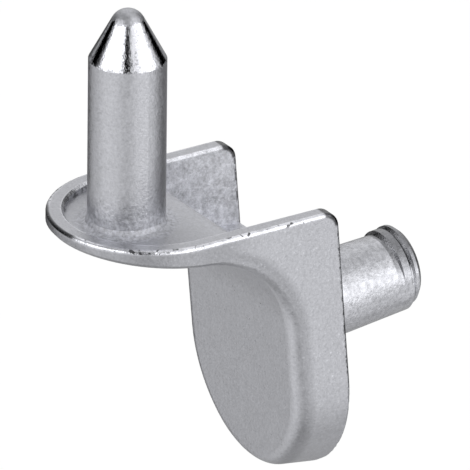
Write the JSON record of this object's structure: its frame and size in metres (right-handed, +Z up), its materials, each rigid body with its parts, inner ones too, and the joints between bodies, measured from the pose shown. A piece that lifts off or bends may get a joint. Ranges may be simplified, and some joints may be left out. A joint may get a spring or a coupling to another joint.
{
  "type": "shelf support pin",
  "caption": "One-piece cast shelf support: half-round rimmed seat with an upright locating pin, a rounded tongue that bears on the side panel, and a barbed plug for a system hole.",
  "frame": {"origin": "where the plug's axis meets the wall face", "axes": "+Y along the plug into the side panel, +Z up, X across the support; the seat reaches out along -Y"},
  "size_m": [0.012, 0.0226, 0.0319],
  "materials": {
    "plated_casting": "satin nickel-plated zinc casting"
  },
  "bodies": {
    "root": {"shelf_support": "plated_casting"}
  },
  "joints": []
}
